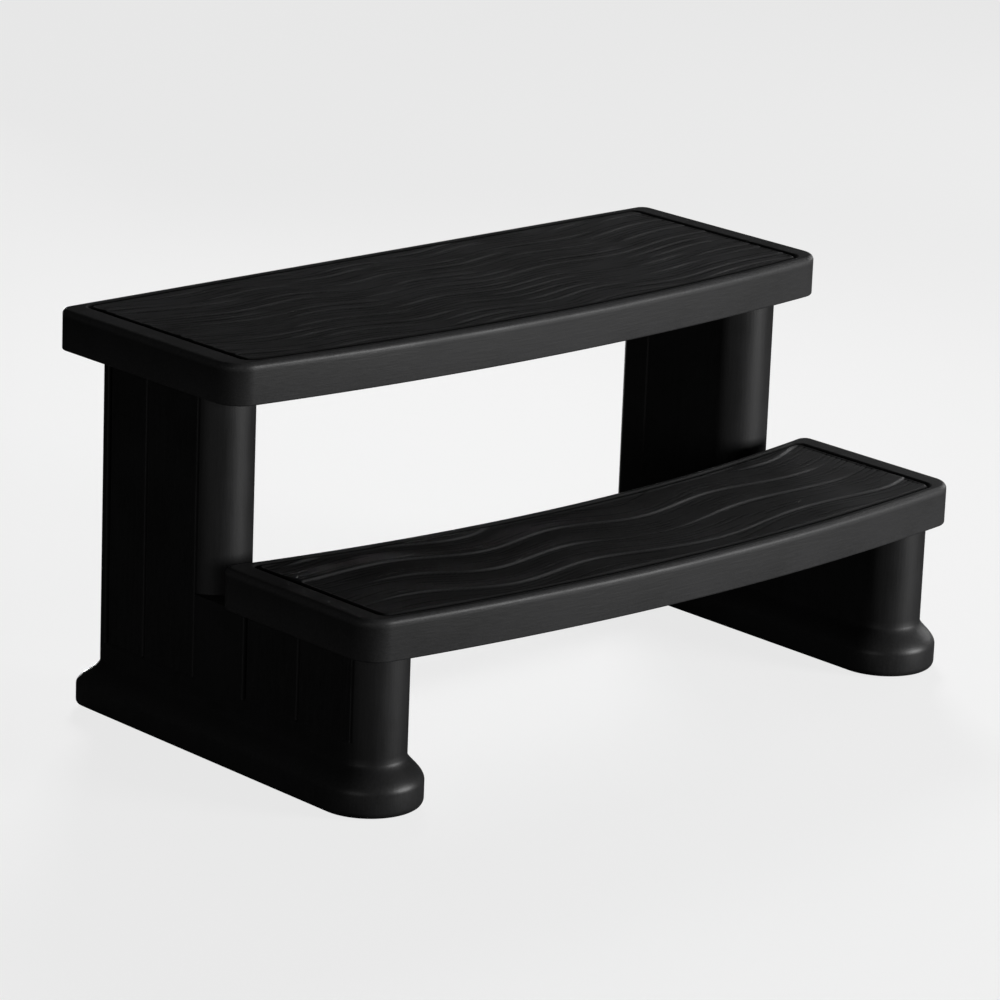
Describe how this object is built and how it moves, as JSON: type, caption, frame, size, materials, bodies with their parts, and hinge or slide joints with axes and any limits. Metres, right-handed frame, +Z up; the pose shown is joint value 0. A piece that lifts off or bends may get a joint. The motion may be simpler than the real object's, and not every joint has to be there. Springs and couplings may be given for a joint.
{
  "type": "spa steps",
  "caption": "Two-tier moulded plastic steps for a hot tub: bowed tread trays on planked, hollow side panels with half-round fronts, open risers and rubber feet.",
  "frame": {"origin": "centre of the bounding box in plan, at floor level", "axes": "+X along the treads towards the right of someone facing the steps, +Y from the front of the lower tread towards the tub, +Z up"},
  "size_m": [0.776, 0.485, 0.38],
  "materials": {
    "satin_black_plastic": "satin, as moulded",
    "matt_black_plastic": "matt, as moulded",
    "zinc_steel": "zinc plated",
    "black_rubber": "matt"
  },
  "bodies": {
    "root": {"left_foot_pad_1": "black_rubber", "left_foot_pad_2": "black_rubber", "left_foot_pad_3": "black_rubber", "left_side_panel": "satin_black_plastic", "lower_brace_screw_1": "zinc_steel", "lower_brace_screw_2": "zinc_steel", "lower_brace_screw_3": "zinc_steel", "lower_brace_screw_4": "zinc_steel", "lower_tread": "satin_black_plastic", "lower_tread_screw_1": "zinc_steel", "lower_tread_screw_2": "zinc_steel", "lower_tread_screw_3": "zinc_steel", "lower_tread_screw_4": "zinc_steel", "rear_brace_lower": "matt_black_plastic", "rear_brace_upper": "matt_black_plastic", "right_foot_pad_1": "black_rubber", "right_foot_pad_2": "black_rubber", "right_foot_pad_3": "black_rubber", "right_side_panel": "satin_black_plastic", "upper_brace_screw_1": "zinc_steel", "upper_brace_screw_2": "zinc_steel", "upper_brace_screw_3": "zinc_steel", "upper_brace_screw_4": "zinc_steel", "upper_tread": "satin_black_plastic", "upper_tread_screw_1": "zinc_steel", "upper_tread_screw_2": "zinc_steel", "upper_tread_screw_3": "zinc_steel", "upper_tread_screw_4": "zinc_steel"}
  },
  "joints": []
}
